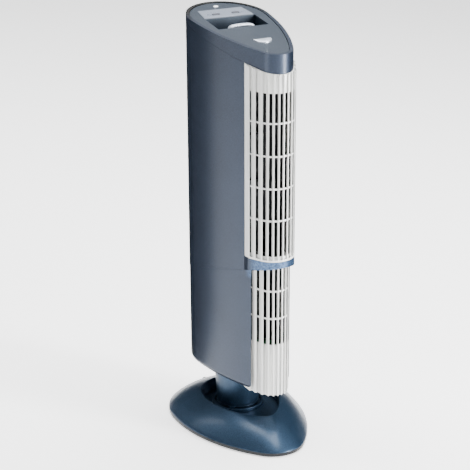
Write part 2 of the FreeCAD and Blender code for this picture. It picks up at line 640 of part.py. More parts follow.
def makeImpeller():
    blades = []
    count = 24
    for index in range(count):
        blade = doc.addObject("Part::Box", "Blade%d" % index)
        blade.Length = 1.1
        blade.Width = 8
        bind(blade, "Height", "fanHigh - fanLow - 2")
        angle = 360.0 * index / count
        turn = FreeCAD.Rotation(FreeCAD.Vector(0, 0, 1), angle)
        lean = FreeCAD.Rotation(FreeCAD.Vector(0, 0, 1), angle - 28)
        reach = turn.multVec(FreeCAD.Vector(0, number("fanRadius") - 8.3, 0))
        blade.Placement = FreeCAD.Placement(reach + FreeCAD.Vector(0, number("fanY"), number("fanLow") + 1), lean)
        blades.append(blade)
    rings = []
    for index, low in enumerate(("fanLow", "(fanLow + fanHigh) / 2 - 0.8", "fanHigh - 2")):
        rings.append(cylinder("DrumDisc%d" % index, "fanRadius", low, "%s + 2" % low, "0", "fanY"))
    bore = cylinder("DrumBore", "shaftRadius", "fanLow - 1", "fanHigh + 1", "0", "fanY")
    node(cut("Impeller", fuse("DrumSolid", rings + blades), [bore]), "impeller")
    node(cylinder("Shaft", "shaftRadius", "fanLow - 20", "fanHigh + 14", "0", "fanY"), "impeller_shaft")


def makeDuct():
    wallTube = cylinder("DuctOutside", "fanRadius + 5", "fanLow - 8", "fanHigh + 8", "0", "fanY")
    inside = cylinder("DuctInside", "fanRadius + 2.5", "fanLow - 9", "fanHigh + 9", "0", "fanY")
    mouth = box("DuctMouth", ("-16", "40"), ("fanY - fanRadius - 8", "fanY - 8"), ("fanLow - 3", "fanHigh + 3"))
    inlet = box("DuctInlet", ("-24", "24"), ("fanY + 14", "fanY + 50"), ("fanLow - 3", "fanHigh + 3"))
    node(cut("Duct", wallTube, [inside, mouth, inlet]), "air_duct")


def deck(name, low, high):
    slab = eggPad(name + "Slab", "tower", low, high, "wall + 1")
    back = box(name + "Back", ("-towerBackRadius", "towerBackRadius"), ("panBack", "backY"), (low, high))
    return common(name, [slab, back])


def makeMotor():
    can = cylinder("MotorCan", "26", "fanLow - 62", "fanLow - 22", "0", "fanY")
    nose = cylinder("MotorNose", "9", "fanLow - 22", "fanLow - 14", "0", "fanY")
    bore = cylinder("MotorBore", "shaftRadius + 0.05", "fanLow - 30", "fanLow - 10", "0", "fanY")
    node(cut("Motor", fuse("MotorSolid", [can, nose]), [bore]), "fan_motor")
    hole = cylinder("BracketHole", "10", "fanLow - 20", "fanLow - 6", "0", "fanY")
    legs = [box("BracketLeg%d" % side, (str(side * 32 - 2), str(side * 32 + 2)), ("fanY - 6", "fanY + 6"),
                ("fanLow - 62", "fanLow - 10")) for side in (-1, 1)]
    floor = box("BracketFloor", ("-34", "34"), ("fanY - 6", "fanY + 6"), ("fanLow - 66", "fanLow - 62"))
    bracket = fuse("BracketSolid", [deck("BracketDeck", "fanLow - 12", "fanLow - 8.3"), floor] + legs)
    node(cut("Bracket", bracket, [hole]), "motor_bracket")
    boss = cylinder("TopBoss", "8", "fanHigh + 8.3", "fanHigh + 17", "0", "fanY")
    seat = cylinder("TopSeat", "5.5", "fanHigh + 7", "fanHigh + 14.5", "0", "fanY")
    top = fuse("TopSolid", [deck("TopDeck", "fanHigh + 8.3", "fanHigh + 11"), boss])
    node(cut("TopBracket", top, [seat]), "bearing_bracket")
    bush = cylinder("BushOutside", "5.5", "fanHigh + 8.3", "fanHigh + 14.5", "0", "fanY")
    bore = cylinder("BushBore", "shaftRadius + 0.05", "fanHigh + 7", "fanHigh + 16", "0", "fanY")
    node(cut("Bush", bush, [bore]), "shaft_bush")


def plateBoxes(name):
    return [box("%s%d" % (name, index), ("%s - plateThick / 2" % x, "%s + plateThick / 2" % x),
                ("cartridgeFront + plateReach", "cartridgeBack - plateReach"),
                ("cartridgeLow + 3", "cartridgeHigh - 2")) for index, x in enumerate((-30, -20, -10, 0, 10, 20, 30))]


def makeCartridge():
    half = "cartridgeHalf"
    outside = box("FrameOutside", ("-" + half, half), ("cartridgeFront", "cartridgeBack"),
                  ("cartridgeLow", "cartridgeHigh"))
    inside = box("FrameInside", ("-%s + 3" % half, "%s - 3" % half), ("cartridgeFront - 1", "cartridgeBack + 1"),
                 ("cartridgeLow + 5", "cartridgeHigh - 5"))
    rungs = [box("FrameRung%d" % row, ("-%s + 1" % half, "%s - 1" % half), ("cartridgeFront", "cartridgeFront + 3"),
                 ("cartridgeLow + %d" % (76 * row), "cartridgeLow + %d" % (76 * row + 4))) for row in (1, 2, 3)]
    frame = fuse("FrameSolid", [cut("FrameRing", outside, [inside])] + rungs)
    node(cut("Frame", frame, plateBoxes("PlateSlot")), "cartridge_frame")
    node(fuse("Plates", plateBoxes("Plate")), "collector_plates")
    wires = [cylinder("Wire%d" % index, "wireRadius", "cartridgeLow + 5", "cartridgeHigh - 5", str(x),
                      "cartridgeBack - 1.5") for index, x in enumerate((-25, -15, -5, 5, 15, 25))]
    node(fuse("Wires", wires), "emitter_wires")
    node(box("HeadPlate", ("-panHalf + gap", "panHalf - gap"), ("panFront + gap", "panBack - gap"),
             ("cartridgeHigh", "cartridgeHigh + 4")), "cartridge_head")
    posts = [box("HandlePost%d" % side, ("%d * handlePost - 3" % side, "%d * handlePost + 3" % side),
                 ("panFront + 5", "panFront + 12"), ("cartridgeHigh + 4", "handleLow + 2")) for side in (-1, 1)]
    grip = box("HandleGrip", ("-handleHalf", "handleHalf"), ("panFront + 5", "panFront + 12"),
               ("handleLow", "handleTop"))
    node(fuse("Handle", [grip] + posts), "cartridge_handle")


def makeRails():
    rails = []
    for side in (-1, 1):
        low, high = ("cartridgeHalf + gap", "60.5") if side > 0 else ("-60.5", "-cartridgeHalf - gap")
        rails.append(box("Rail%d" % side, (low, high), ("8", "27"), ("cartridgeLow - 6", "cartridgeHigh - 8")))
    sill = box("RailSill", ("-60", "60"), ("8", "27"), ("cartridgeLow - 6", "cartridgeLow - gap"))
    node(fuse("Rails", rails + [sill]), "cartridge_guide")
    pins = [box("Contact%d" % side, (str(side * 20 - 3), str(side * 20 + 3)), ("28", "32"),
                ("cartridgeLow - 14", "cartridgeLow - 1")) for side in (-1, 1)]
    block = box("ContactBlock", ("-26", "26"), ("27", "33"), ("cartridgeLow - 22", "cartridgeLow - 13"))
    node(fuse("Contacts", pins + [block]), "contact_block")


def makeBoards():
    board = box("ControlBoard", ("-30", "30"), ("48", "98"), ("672", "673.6"))
    switches = [box("Switch%d" % side, ("%d * buttonX - 3" % side, "%d * buttonX + 3" % side),
                    ("buttonY - 3", "buttonY + 3"), ("673.6", "685.8")) for side in (-1, 1)]
    lamp = cylinder("Lamp", "1.5", "673.6", "690", "0", "lensY")
    node(fuse("Control", [board, lamp] + switches), "control_board")
    supply = box("SupplyBoard", ("-40", "40"), ("-65", "-10"), ("130", "131.6"))
    can = cylinder("SupplyCap", "8", "131.6", "156", "-20", "-45")
    coil = box("SupplyCoil", ("2", "30"), ("-60", "-30"), ("131.6", "158"))
    heat = box("SupplyHeat", ("-34", "-31"), ("-34", "-14"), ("131.6", "160"))
    pillars = [cylinder("Pillar%d" % index, "3", "106", "130", x, y)
               for index, (x, y) in enumerate((("-34", "-15"), ("34", "-15"), ("-25", "-60"), ("25", "-60")))]
    node(fuse("Supply", [supply, can, coil, heat] + pillars), "supply_board")


makeFoot()
makeFootFloor()
makeFootScrews()
makeGland()
makeSwivel()
makeTurntable()
makeNeck()
makeLowerHousing()
makeNeckScrews()
makeUpperHousing()
makeTopRim()
makeLid()
makePanel()
makeReleaseButton()
upperFins = ["upperReach * sin(finStep * (%d))" % index for index in range(-6, 7)]
makeOutlet("upper_grille", "upperHalf", "-upperProud", upperFins, "upperBottom", "capBack", "upperBottom + lipTall",
           "upperSlotLow", "upperSlotHigh", ["upperBar + %d * barPitch" % row for row in range(4)])
lowerFins = ["lowerReach * sin(finStep * (%s))" % (index + 0.5) for index in range(-6, 6)]
makeOutlet("lower_grille", "lowerHalf", "lowerInset", lowerFins, "lowerBottom", "lowerTop", "lowerBottom - 1",
           "lowerSlotLow", "lowerTop - 6", ["lowerBar", "lowerBar + lowerBarPitch"])
makeIntake()
makeImpeller()
makeDuct()
makeMotor()
makeCartridge()
makeRails()
makeBoards()

doc.recompute()
faults = []
for thing in doc.Objects:
    if "Invalid" in thing.State or "Error" in thing.State:
        faults.append("%s: %s" % (thing.Label, thing.State))
for thing in nodes:
    if thing.Shape.isNull() or not thing.Shape.isValid():
        faults.append("%s has no valid shape" % thing.Label)
    elif not thing.Shape.Solids:
        faults.append("%s has no solid" % thing.Label)
if faults:
    raise RuntimeError("; ".join(faults))
os.makedirs("parts", exist_ok=True)
for thing in nodes:
    thing.Shape.exportStep("parts/%s.step" % thing.Label)
    print("%-20s %2d solids %9.0f mm3" % (thing.Label, len(thing.Shape.Solids), thing.Shape.Volume))
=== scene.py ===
import json
import math
import bpy
from mathutils import Matrix, Vector


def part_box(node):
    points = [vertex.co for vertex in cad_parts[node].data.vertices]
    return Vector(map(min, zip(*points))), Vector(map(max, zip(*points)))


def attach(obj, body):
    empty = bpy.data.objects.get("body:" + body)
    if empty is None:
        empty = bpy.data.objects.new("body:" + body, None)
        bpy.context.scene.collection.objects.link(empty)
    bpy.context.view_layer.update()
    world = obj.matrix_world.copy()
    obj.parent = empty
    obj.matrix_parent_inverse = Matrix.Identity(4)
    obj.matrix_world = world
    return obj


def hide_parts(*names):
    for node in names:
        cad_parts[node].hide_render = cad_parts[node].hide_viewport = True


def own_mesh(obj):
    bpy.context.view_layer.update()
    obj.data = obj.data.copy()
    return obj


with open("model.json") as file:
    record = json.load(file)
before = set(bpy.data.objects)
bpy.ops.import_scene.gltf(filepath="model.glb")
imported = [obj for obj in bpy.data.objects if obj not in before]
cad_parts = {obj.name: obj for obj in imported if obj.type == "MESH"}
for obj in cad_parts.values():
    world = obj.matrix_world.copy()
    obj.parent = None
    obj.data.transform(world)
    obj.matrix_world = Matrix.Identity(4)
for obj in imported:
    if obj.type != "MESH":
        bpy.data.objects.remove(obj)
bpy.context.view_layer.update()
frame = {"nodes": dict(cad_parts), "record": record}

# Blower tower: lacquered shells, ribbed outlet grilles and a lift-out cartridge, dressed round the
# fixed frame.
# Metres, +Z up, front towards -Y.

nodes = frame["nodes"]
mm = 0.001


# colours and shader nodes

def toLinear(hexColour):
    channels = [int(hexColour[place:place + 2], 16) / 255 for place in (1, 3, 5)]
    return tuple(c / 12.92 if c <= 0.04045 else ((c + 0.055) / 1.055) ** 2.4 for c in channels) + (1.0,)


def addNode(tree, kind, settings=None, links=None):
    made = tree.nodes.new(kind)
    for name, value in (settings or {}).items():
        if isinstance(name, int) or name in made.inputs:
            made.inputs[name].default_value = value
        else:
            setattr(made, name, value)
    for name, source in (links or {}).items():
        tree.links.new(source, made.inputs[name])
    return made


def startMaterial(name, values):
    material = bpy.data.materials.new(name)
    material.use_nodes = True
    tree = material.node_tree
    shader = tree.nodes["Principled BSDF"]
    for socket in ("Metallic", "Roughness", "IOR", "Coat Weight", "Coat Roughness", "Specular IOR Level"):
        if socket in values:
            shader.inputs[socket].default_value = values[socket]
    place = addNode(tree, "ShaderNodeTexCoord").outputs["Object"]
    return material, tree, shader, place


def grain(tree, place, size, detail=2.0, roughness=0.5, stretch=(1, 1, 1)):
    # size is the spacing of the pattern in metres
    spot = addNode(tree, "ShaderNodeMapping", {"Scale": stretch}, {"Vector": place}).outputs["Vector"]
    settings = {"Scale": 1 / size, "Detail": detail, "Roughness": roughness}
    return addNode(tree, "ShaderNodeTexNoise", settings, {"Vector": spot}).outputs["Fac"]


def blend(tree, first, second, factor):
    # first and second are hex colours or colour sockets
    mix = addNode(tree, "ShaderNodeMix", {"data_type": "RGBA"}, {0: factor})
    for place, colour in ((6, first), (7, second)):
        if isinstance(colour, str):
            mix.inputs[place].default_value = toLinear(colour)
        else:
            tree.links.new(colour, mix.inputs[place])
    return mix.outputs[2]


def ramp(tree, factor, low, high, fromLow=0.35, fromHigh=0.65):
    settings = {"From Min": fromLow, "From Max": fromHigh, "To Min": low, "To Max": high}
    return addNode(tree, "ShaderNodeMapRange", settings, {"Value": factor}).outputs["Result"]


def product(tree, first, second):
    return addNode(tree, "ShaderNodeMath", {"operation": "MULTIPLY"}, {0: first, 1: second}).outputs[0]


def addBump(tree, shader, height, strength, depth):
    settings = {"Strength": strength, "Distance": depth}
    bump = addNode(tree, "ShaderNodeBump", settings, {"Height": height})
    tree.links.new(bump.outputs["Normal"], shader.inputs["Normal"])


# materials

lacquer = {
    "tower": {"dark": "#191f2a", "light": "#2d384a", "Metallic": 0.7, "Roughness": 0.4, "Coat Weight": 0.25,
              "Coat Roughness": 0.22, "flake": 1.3 * mm, "peel": 2.6 * mm},
    "foot": {"dark": "#142233", "light": "#2f475f", "Metallic": 0.75, "Roughness": 0.37, "Coat Weight": 0.3,
             "Coat Roughness": 0.2, "flake": 1.3 * mm, "peel": 2.6 * mm},
    "panel": {"dark": "#5f6672", "light": "#8d95a3", "Metallic": 0.4, "Roughness": 0.36, "Coat Weight": 0.2,
              "Coat Roughness": 0.2, "flake": 1.0 * mm, "peel": 2.0 * mm},
    "lid": {"dark": "#18212b", "light": "#273442", "Metallic": 0.45, "Roughness": 0.42, "Coat Weight": 0.12,
            "Coat Roughness": 0.3, "flake": 1.1 * mm, "peel": 2.2 * mm},
    "silver": {"dark": "#9aa2af", "light": "#c6ccd6", "Metallic": 0.4, "Roughness": 0.34, "Coat Weight": 0.2,
               "Coat Roughness": 0.2, "flake": 1.0 * mm, "peel": 2.0 * mm},
}


lacquerSkin = {"cloud": 45 * mm, "cloudShare": 0.18, "spread": (0.05, 0.04), "flakeShare": (0.25, 0.8),
               "peelStrength": 0.12, "peelDepth": 0.05 * mm}


def metallicLacquer(name, values):
    # ABS sprayed with aluminium-flake lacquer: a soft sheen that rolls round the shell, faint sparkle, and
    # the shallow orange peel of sprayed paint. Flakes are drawn at about a millimetre, coarser than
    # real ones.
    material, tree, shader, place = startMaterial(name, values)
    flakes = grain(tree, place, values["flake"], 3.0, 0.7)
    cloud = grain(tree, place, lacquerSkin["cloud"], 2.0, 0.4)
    base = blend(tree, values["dark"], values["light"], ramp(tree, flakes, *lacquerSkin["flakeShare"]))
    colour = blend(tree, base, values["light"], ramp(tree, cloud, 0.0, lacquerSkin["cloudShare"]))
    tree.links.new(colour, shader.inputs["Base Color"])
    rough = values["Roughness"]
    duller, glossier = lacquerSkin["spread"]
    tree.links.new(ramp(tree, flakes, rough + duller, rough - glossier), shader.inputs["Roughness"])
    peel = grain(tree, place, values["peel"], 1.0, 0.4)
    addBump(tree, shader, peel, lacquerSkin["peelStrength"], lacquerSkin["peelDepth"])
    return material, tree, shader, place, colour


# the band's place and speckle colours, then the near-black and the facing range of the painted shade on the
# housing's inner walls
belt = {"low": 0.303, "high": 0.3345, "behind": -0.078, "reach": 0.0405, "blend": 6 * mm,
        "speckle": 2.2 * mm, "speckleShare": 0.75, "dark": "#1b2f4c", "light": "#5f7da3", "insideShade": "#050506",
        "innerFrom": -12 * mm, "innerTo": -4 * mm}


def beltedLacquer():
    # The same lacquer, with a coarser, bluer flake in the band under the upper grille, which shows as
    # speckle
    material, tree, shader, place, colour = metallicLacquer("metallicLacquerTower", lacquer["tower"])
    spot = addNode(tree, "ShaderNodeSeparateXYZ", {}, {"Vector": place}).outputs
    above = ramp(tree, spot["Z"], 0.0, 1.0, belt["low"] - belt["blend"], belt["low"])
    below = ramp(tree, spot["Z"], 1.0, 0.0, belt["high"], belt["high"] + belt["blend"])
    ahead = belt["behind"] - 2 * belt["blend"]
    front = ramp(tree, spot["Y"], 1.0, 0.0, ahead, belt["behind"] + belt["blend"])
    inside = product(tree, above, below)
    aside = addNode(tree, "ShaderNodeMath", {"operation": "ABSOLUTE"}, {0: spot["X"]}).outputs[0]
    within = ramp(tree, aside, 1.0, 0.0, belt["reach"] - belt["blend"], belt["reach"])
    band = product(tree, inside, product(tree, front, within))
    # painted shade: the inner walls, facing in towards the tower's axis, are turned near-black so the inside
    # of the housing reads as shaded behind the grille slots
    normal = addNode(tree, "ShaderNodeNewGeometry").outputs["Normal"]
    outward = addNode(tree, "ShaderNodeVectorMath", {"operation": "MULTIPLY", 1: (1, 1, 0)}, {0: place})
    ends = {0: outward.outputs[0], 1: normal}
    facing = addNode(tree, "ShaderNodeVectorMath", {"operation": "DOT_PRODUCT"}, ends)
    inner = ramp(tree, facing.outputs["Value"], 1.0, 0.0, belt["innerFrom"], belt["innerTo"])
    coarse = grain(tree, place, belt["speckle"], 4.0, 0.8)
    share = ramp(tree, coarse, 0.0, belt["speckleShare"], 0.4, 0.62)
    speckle = blend(tree, belt["dark"], belt["light"], share)
    sprayed = blend(tree, colour, speckle, band)
    tree.links.new(blend(tree, sprayed, belt["insideShade"], inner), shader.inputs["Base Color"])
    return material


# painted shade along the foot's floor edge: the height of the dark band, its soft edge and its near-black
# colour
lipShade = {"top": 8.0 * mm, "soft": 0.6 * mm, "colour": "#070a10"}


def lipShadedLacquer():
    # The foot's deeper blue lacquer, with painted shade: the upright lip round its floor edge is turned
    # near-black, standing in for the shade along the floor
    material, tree, shader, place, colour = metallicLacquer("metallicLacquerFoot", lacquer["foot"])
    height = addNode(tree, "ShaderNodeSeparateXYZ", {}, {"Vector": place}).outputs["Z"]
    low = ramp(tree, height, 1.0, 0.0, lipShade["top"] - lipShade["soft"], lipShade["top"])
    tree.links.new(blend(tree, colour, lipShade["colour"], low), shader.inputs["Base Color"])
    return material


plastics = {
    "grille": {"dark": "#c4c5c4", "light": "#e2e2df", "Roughness": 0.38, "IOR": 1.49, "Metallic": 0.12,
               "texture": 0.9 * mm, "deep": 0.02 * mm},
    "black": {"dark": "#0e0f12", "light": "#1d1f24", "Roughness": 0.55, "IOR": 1.53, "texture": 0.8 * mm,
              "deep": 0.05 * mm},
    "button": {"dark": "#20242e", "light": "#343a48", "Roughness": 0.4, "IOR": 1.53, "texture": 0.6 * mm,
               "deep": 0.02 * mm},
    "acetal": {"dark": "#d9d5c8", "light": "#ece8dc", "Roughness": 0.48, "IOR": 1.48, "texture": 1.2 * mm,
               "deep": 0.02 * mm},
    "ink": {"dark": "#4c5361", "light": "#5d6573", "Roughness": 0.6, "IOR": 1.5, "texture": 0.5 * mm,
            "deep": 0.01 * mm},
}


plasticSkin = {"flow": 14 * mm, "duller": 0.07, "glossier": 0.05, "strength": 0.3}


def mouldedPlastic(name, values):
    # Injection-moulded plastic: the fine spark-eroded grain of the tool breaks the gloss, and flow lines down
    # the draw leave the colour slightly uneven
    material, tree, shader, place = startMaterial(name, values)
    fine = grain(tree, place, values["texture"], 3.0, 0.6)
    flow = grain(tree, place, plasticSkin["flow"], 2.0, 0.5, (1, 1, 0.15))
    share = ramp(tree, product(tree, fine, flow), 0.2, 1.0, 0.12, 0.38)
    tree.links.new(blend(tree, values["dark"], values["light"], share), shader.inputs["Base Color"])
    low = values["Roughness"] - plasticSkin["glossier"]
    high = values["Roughness"] + plasticSkin["duller"]
    tree.links.new(ramp(tree, fine, low, high), shader.inputs["Roughness"])
    addBump(tree, shader, fine, plasticSkin["strength"], values["deep"])
    return material


metals = {
    "steel": {"dark": "#8d9094", "light": "#c9cbcd", "Metallic": 1.0, "Roughness": 0.34, "lines": 0.5 * mm,
              "stretch": (1, 1, 0.02)},
    "bronze": {"dark": "#7d5a2c", "light": "#c3924c", "Metallic": 1.0, "Roughness": 0.46, "lines": 0.7 * mm,
               "stretch": (1, 1, 1)},
}


metalSkin = {"duller": 0.12, "glossier": 0.08, "strength": 0.25, "depth": 0.03 * mm}


def toolMarkedMetal(name, values):
    # Turned or rolled metal: fine marks along the work spread its highlights into a streak; the sintered
    # bronze has open pores instead
    material, tree, shader, place = startMaterial(name, values)
    marks = grain(tree, place, values["lines"], 4.0, 0.65, values["stretch"])
    share = ramp(tree, marks, 0.0, 1.0)
    tree.links.new(blend(tree, values["dark"], values["light"], share), shader.inputs["Base Color"])
    low = values["Roughness"] - metalSkin["glossier"]
    high = values["Roughness"] + metalSkin["duller"]
    tree.links.new(ramp(tree, marks, low, high), shader.inputs["Roughness"])
    addBump(tree, shader, marks, metalSkin["strength"], metalSkin["depth"])
    return material


rubberLook = {"dark": "#0c0c0d", "light": "#1c1c1e", "Roughness": 0.82, "IOR": 1.52, "grit": 0.7 * mm,
              "bloom": 9 * mm, "strength": 0.4, "depth": 0.08 * mm}


def matRubber():
    # Moulded rubber: no clear highlight, a dusty bloom on a fine pebbled skin
    material, tree, shader, place = startMaterial("nitrileRubber", rubberLook)
    pebbles = addNode(tree, "ShaderNodeTexVoronoi", {"Scale": 1 / rubberLook["grit"]}, {"Vector": place})
    bloom = grain(tree, place, rubberLook["bloom"], 3.0, 0.6)
    tree.links.new(blend(tree, rubberLook["dark"], rubberLook["light"], bloom), shader.inputs["Base Color"])
    addBump(tree, shader, pebbles.outputs["Distance"], rubberLook["strength"], rubberLook["depth"])
    return material


boardLook = {"mask": "#123f24", "track": "#2c7a45", "Roughness": 0.32, "IOR": 1.55, "pitch": 5 * mm,
             "trackShare": 0.12, "long": 2.6, "high": 0.8, "strength": 0.3, "depth": 0.06 * mm}


def solderMaskBoard():
    # Glass-epoxy laminate under green solder mask: glossy, with the copper tracks standing lighter beneath it
    material, tree, shader, place = startMaterial("solderMaskLaminate", boardLook)
    settings = {"Scale": 1 / boardLook["pitch"], "Mortar Size": boardLook["trackShare"],
                "Brick Width": boardLook["long"], "Row Height": boardLook["high"],
                "Color1": toLinear(boardLook["mask"]), "Color2": toLinear(boardLook["mask"]),
                "Mortar": toLinear(boardLook["track"])}
    tracks = addNode(tree, "ShaderNodeTexBrick", settings, {"Vector": place})
    tree.links.new(tracks.outputs["Color"], shader.inputs["Base Color"])
    addBump(tree, shader, tracks.outputs["Fac"], boardLook["strength"], boardLook["depth"])
    return material


lensLook = {"colour": "#f7fafc", "haze": "#e4ebf2", "cloud": 1.5 * mm, "Roughness": 0.16, "IOR": 1.49,
            "Coat Weight": 0.5, "glow": 0.7}


def litLens():
    # Opal acrylic over a white lamp: milky, evenly lit, with a polished skin
    material, tree, shader, place = startMaterial("opalAcrylic", lensLook)
    haze = grain(tree, place, lensLook["cloud"], 2.0, 0.5)
    tree.links.new(blend(tree, lensLook["haze"], lensLook["colour"], haze), shader.inputs["Base Color"])
    shader.inputs["Emission Color"].default_value = toLinear(lensLook["colour"])
    shader.inputs["Emission Strength"].default_value = lensLook["glow"]
    return material


print("making materials")
looks = {
    "housing_blue": beltedLacquer(),
    "foot_blue": lipShadedLacquer(),
    "lid_grey": metallicLacquer("metallicLacquerLid", lacquer["lid"])[0],
    "silver_plastic": metallicLacquer("metallicLacquerSilver", lacquer["silver"])[0],
    "panel_silver": metallicLacquer("metallicLacquerPanel", lacquer["panel"])[0],
    "grille_white": mouldedPlastic("mouldedAbsGrille", plastics["grille"]),
    "dark_button": mouldedPlastic("mouldedAbsButton", plastics["button"]),
    "lens_clear": litLens(),
    "black_abs": mouldedPlastic("mouldedAbsBlack", plastics["black"]),
    "rubber": matRubber(),
    "steel": toolMarkedMetal("turnedSteel", metals["steel"]),
    "gear_nylon": mouldedPlastic("mouldedAcetal", plastics["acetal"]),
    "bronze": toolMarkedMetal("sinteredBronze", metals["bronze"]),
    "circuit_board": solderMaskBoard(),
    "ink": mouldedPlastic("printedInk", plastics["ink"]),
}
slotOf = {row["node"]: row["material_slot"] for row in frame["record"]["subparts"]}
footNodes = ("base_shell", "swivel_collar", "turntable", "neck_shell")
for name, thing in nodes.items():
    look = looks["foot_blue"] if name in footNodes else looks[slotOf[name]]
    if name == "control_panel":
        look = looks["panel_silver"]
    if not thing.material_slots:
        thing.data.materials.append(look)
    for place in thing.material_slots:
        place.material = look


# softened edges of the moulded shells

edges = {
    "top_lid": 0.7 * mm,
    "upper_grille": 0.3 * mm, "lower_grille": 0.3 * mm, "intake_grille": 0.4 * mm, "base_shell": 0.9 * mm,
    "control_panel": 0.25 * mm, "release_button": 0.5 * mm, "turntable": 0.5 * mm, "neck_shell": 0.6 * mm,
    "swivel_collar": 0.6 * mm, "cartridge_head": 0.5 * mm, "cartridge_frame": 0.4 * mm,
    "cord_gland": 0.4 * mm,
}
softening = {"merge": 0.002 * mm, "segments": 2, "sharperThan": 38}


def softenEdges(name, width):
    thing = nodes[name]
    weld = thing.modifiers.new("weld", "WELD")
    weld.merge_threshold = softening["merge"]
    bevel = thing.modifiers.new("bevel", "BEVEL")
    bevel.width = width
    bevel.segments = softening["segments"]
    bevel.limit_method = "ANGLE"
    bevel.angle_limit = math.radians(softening["sharperThan"])
    bevel.use_clamp_overlap = True
    bevel.harden_normals = True


for name, width in edges.items():
    softenEdges(name, width)
print("edges softened")


# places on the sloping lid

near = 0.05 * mm
rimPoints = [point.co for point in nodes["top_rim"].data.vertices]
frontY = min(point.y for point in rimPoints)
backY = max(point.y for point in rimPoints)
frontZ = max(point.z for point in rimPoints if point.y < frontY + near)
backZ = max(point.z for point in rimPoints if point.y > backY - near)
lidSlope = (backZ - frontZ) / (backY - frontY)


def onLid(x, y, lift=0.0):
    return Vector((x, y, frontZ + (y - frontY) * lidSlope + lift))


def addPiece(name, points, faces, look, body, smooth=True):
    mesh = bpy.data.meshes.new(name)
    mesh.from_pydata([tuple(point) for point in points], [], faces)
    mesh.update()
    piece = bpy.data.objects.new(name, mesh)
    bpy.context.scene.collection.objects.link(piece)
    mesh.materials.append(looks[look])
    for face in mesh.polygons:
        face.use_smooth = smooth
    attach(piece, body)
    return piece


def ringFaces(rings, count):
    # quads between rings of the same number of points
    faces = []
    for ring in range(rings - 1):
        for place in range(count):
            after = (place + 1) % count
            low = ring * count
            faces.append((low + place, low + after, low + count + after, low + count + place))
    return faces


# crowned caps on the buttons and the lens

def halfMoonOutline(radius, around=36, corner=12):
    # back edge straight, front edge round
    arc = [math.pi + math.pi * step / around for step in range(around + 1)]
    points = [(radius * math.cos(angle), radius * math.sin(angle)) for angle in arc]
    return points + [(radius - 2 * radius * step / corner, 0) for step in range(1, corner)]


def ovalOutline(half, across, around=14):
    run = half - across
    left = [math.pi / 2 + math.pi * step / around for step in range(around + 1)]
    points = [(-run + across * math.cos(angle), across * math.sin(angle)) for angle in left]
    return points + [(-x, -y) for x, y in points]


def crownedCap(name, outline, centre, profile, look, body):
    # profile: how far the outline has shrunk, and how high it stands above the lid's plane
    count = len(outline)
    middle = (sum(x for x, y in outline) / count, sum(y for x, y in outline) / count)
    points = []
    for shrink, lift in profile:
        for x, y in outline:
            spotX = middle[0] + (x - middle[0]) * (1 - shrink)
            spotY = middle[1] + (y - middle[1]) * (1 - shrink)
            points.append(onLid(centre[0] + spotX, centre[1] + spotY, lift))
    points.append(onLid(centre[0] + middle[0], centre[1] + middle[1], profile[-1][1]))
    faces = ringFaces(len(profile), count)
    top = (len(profile) - 1) * count
    faces += [(top + place, top + (place + 1) % count, len(points) - 1) for place in range(count)]
    faces.append(tuple(reversed(range(count))))
    return addPiece(name, points, faces, look, body)


def crownProfile(low, high, crown):
    # upright edge, rounded shoulder and a shallow dome
    shoulder = high - caps["below"] * crown
    steps = [(0.0, low), (0.0, shoulder)]
    for step in range(1, caps["steps"] + 1):
        angle = math.pi / 2 * step / caps["steps"]
        shrink = caps["inward"] * (1 - math.cos(angle)) ** 0.9
        steps.append((shrink, shoulder + (1 + caps["below"]) * crown * math.sin(angle) ** 0.7))
    return steps


def boxMiddle(name):
    low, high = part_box(name)
    return ((low[0] + high[0]) / 2, (low[1] + high[1]) / 2), (high[0] - low[0]) / 2, (high[1] - low[1]) / 2


caps = {"release": {"lift": 1.0 * mm, "skirt": 0.6 * mm, "crown": 0.9 * mm},
        "button": {"lift": 0.75 * mm, "skirt": 0.5 * mm, "crown": 0.5 * mm},
        "lens": {"lift": 0.0, "skirt": 0.3 * mm, "crown": 0.9 * mm},
        "steps": 8, "below": 0.35, "inward": 0.92}


def capProfile(kind):
    sizes = caps[kind]
    return crownProfile(sizes["lift"] - sizes["skirt"], sizes["lift"], sizes["crown"])


def makeCaps():
    (x, y), half, deep = boxMiddle("release_button")
    crownedCap("release_crown", halfMoonOutline(half), (x, y + deep), capProfile("release"),
               "silver_plastic", "release_button")
    for name in ("power_button", "mode_button"):
        middle, half, across = boxMiddle(name)
        crownedCap(name + "_crown", ovalOutline(half, across), middle, capProfile("button"),
                   "dark_button", name)
    middle, half, across = boxMiddle("indicator_lens")
    crownedCap("lens_dome", ovalOutline(half, across), middle, capProfile("lens"),
               "lens_clear", "tower")


# printed marks on the silver panel

def flatMark(name, outline, inner=None, centre=(0, 0)):
    # a thin raised film of ink; inner makes it a ring
    sunk = marks["sunk"]
    loops = [outline] if inner is None else [outline, inner]
    count = len(outline)
    points = []
    for lift in (-sunk, marks["film"] - sunk):
        for loop in loops:
            points += [onLid(centre[0] + x, centre[1] + y, lift) for x, y in loop]
    if inner is None:
        faces = [tuple(range(count, 2 * count)), tuple(reversed(range(count)))] + ringFaces(2, count)
    else:
        faces = []
        for place in range(count):
            a, b = place, (place + 1) % count
            faces.append((2 * count + a, 2 * count + b, 3 * count + b, 3 * count + a))
            faces.append((a, b, 2 * count + b, 2 * count + a))
            faces.append((count + b, count + a, 3 * count + a, 3 * count + b))
            faces.append((b, a, count + a, count + b))
    return addPiece(name, points, faces, "ink", "tower", False)


def circlePoints(radius, count=28):
    angles = [2 * math.pi * step / count for step in range(count)]
    return [(radius * math.cos(angle), radius * math.sin(angle)) for angle in angles]


def barPoints(half, across):
    return [(-half, -across), (half, -across), (half, across), (-half, across)]


